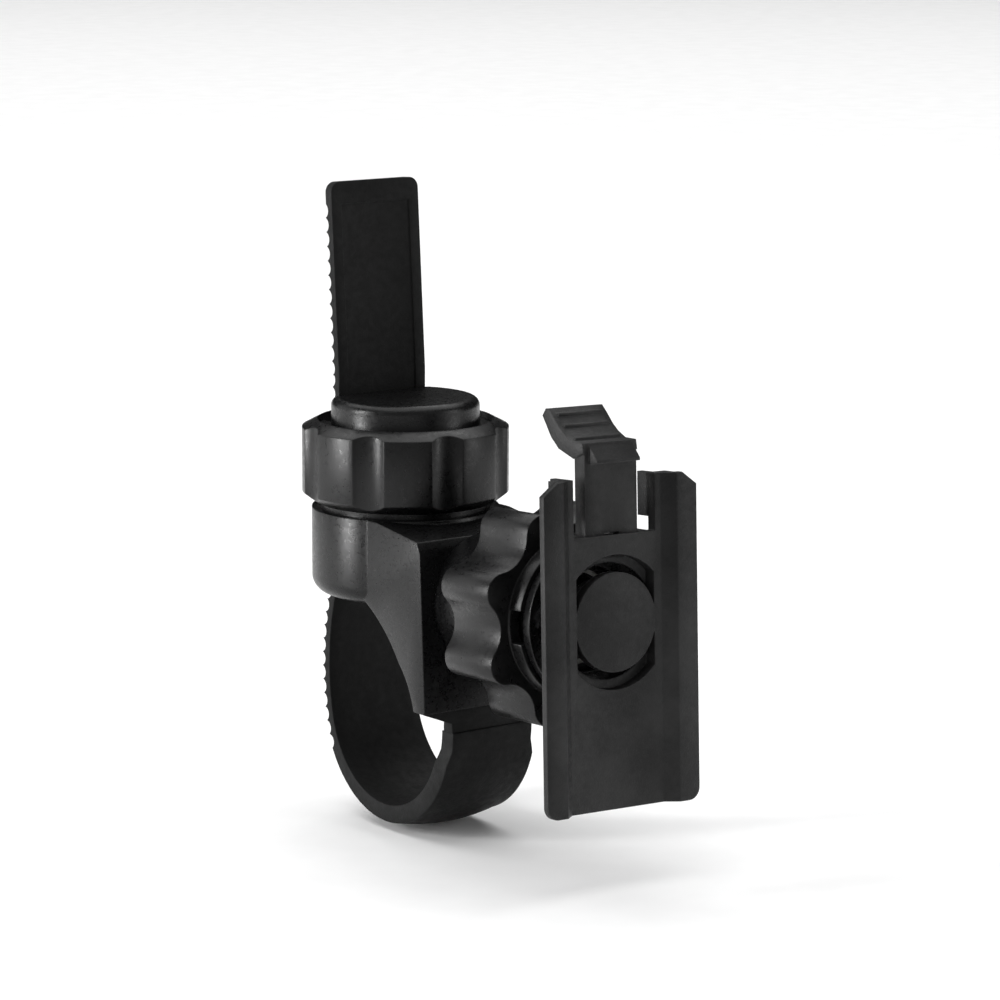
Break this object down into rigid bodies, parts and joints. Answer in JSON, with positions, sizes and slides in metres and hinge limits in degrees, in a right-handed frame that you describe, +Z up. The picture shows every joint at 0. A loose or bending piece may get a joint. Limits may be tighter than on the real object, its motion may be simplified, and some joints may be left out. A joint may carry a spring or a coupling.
{
  "type": "handlebar phone mount",
  "caption": "Handlebar phone mount: toothed strap and ring nut clamp the bar, and a ball joint with a lobed locking knob holds a rail plate with a latch key.",
  "frame": {"origin": "on the axis of the bar space inside the strap loop, midway across the strap", "axes": "+X along the handlebar, -Y towards the rail plate, +Z up along the clamp's tower"},
  "size_m": [0.039, 0.0887, 0.1205],
  "materials": {
    "body": "fine satin grain",
    "strap": "matt",
    "plate": "fine spark-eroded grain",
    "liner": "smooth",
    "steel": "machined"
  },
  "bodies": {
    "clamp": {"clamp_body": "body", "strap_guide": "body", "guide_screws": "steel", "lower_washer": "liner", "upper_washer": "liner", "strap_head": "strap", "strap_loop": "strap", "strap_pin": "steel", "socket": "body", "socket_screw": "steel", "socket_nut": "steel"},
    "ring": {"ring_nut": "body"},
    "tail": {"strap_tail": "strap"},
    "knob": {"lock_knob": "body", "nose_ring": "body"},
    "liner": {"ball_liner": "liner"},
    "ball": {"ball": "body"},
    "plate": {"stud": "body", "ball_screw": "steel", "plate_screws": "steel", "rail_plate": "plate", "latch_pin": "steel", "latch_spring": "steel"},
    "key": {"latch_key": "plate"}
  },
  "joints": [
    {"name": "ring_turn", "type": "hinge", "parent": "clamp", "child": "ring", "pos_m": [0, 0.007, 0.0467], "axis": [0, 0, 1], "range_deg": [-1440, 360]},
    {"name": "strap_slide", "type": "slide", "parent": "clamp", "child": "tail", "axis": [0, 0, 1], "range_m": [-0.0026, 0.0107], "deforming": ["strap_loop"]},
    {"name": "knob_turn", "type": "hinge", "parent": "clamp", "child": "knob", "pos_m": [0, -0.03914, 0.02506], "axis": [0, -0.9988, 0.0489], "range_deg": [-360, 360]},
    {"name": "ball_yaw", "type": "hinge", "parent": "clamp", "child": "liner", "pos_m": [0, -0.04114, 0.02516], "axis": [0, 0.0489, 0.9988], "range_deg": [-8, 8]},
    {"name": "ball_pitch", "type": "hinge", "parent": "liner", "child": "ball", "pos_m": [0, -0.04114, 0.02516], "axis": [1, 0, 0], "range_deg": [-8, 8]},
    {"name": "plate_spin", "type": "hinge", "parent": "ball", "child": "plate", "pos_m": [0, -0.04114, 0.02516], "axis": [0, -0.9974, 0.0715], "range_deg": [-90, 90]},
    {"name": "key_press", "type": "hinge", "parent": "plate", "child": "key", "pos_m": [0.00039, -0.05446, 0.04014], "axis": [-0.9996, 0.002, 0.0279], "range_deg": [0, 9], "stiffness_Nm_per_rad": 0.08, "springref_deg": -11.46}
  ],
  "couplings": [
    {"joint": "ring_turn", "follows": "strap_slide", "rad_per_m": -2327.1}
  ]
}
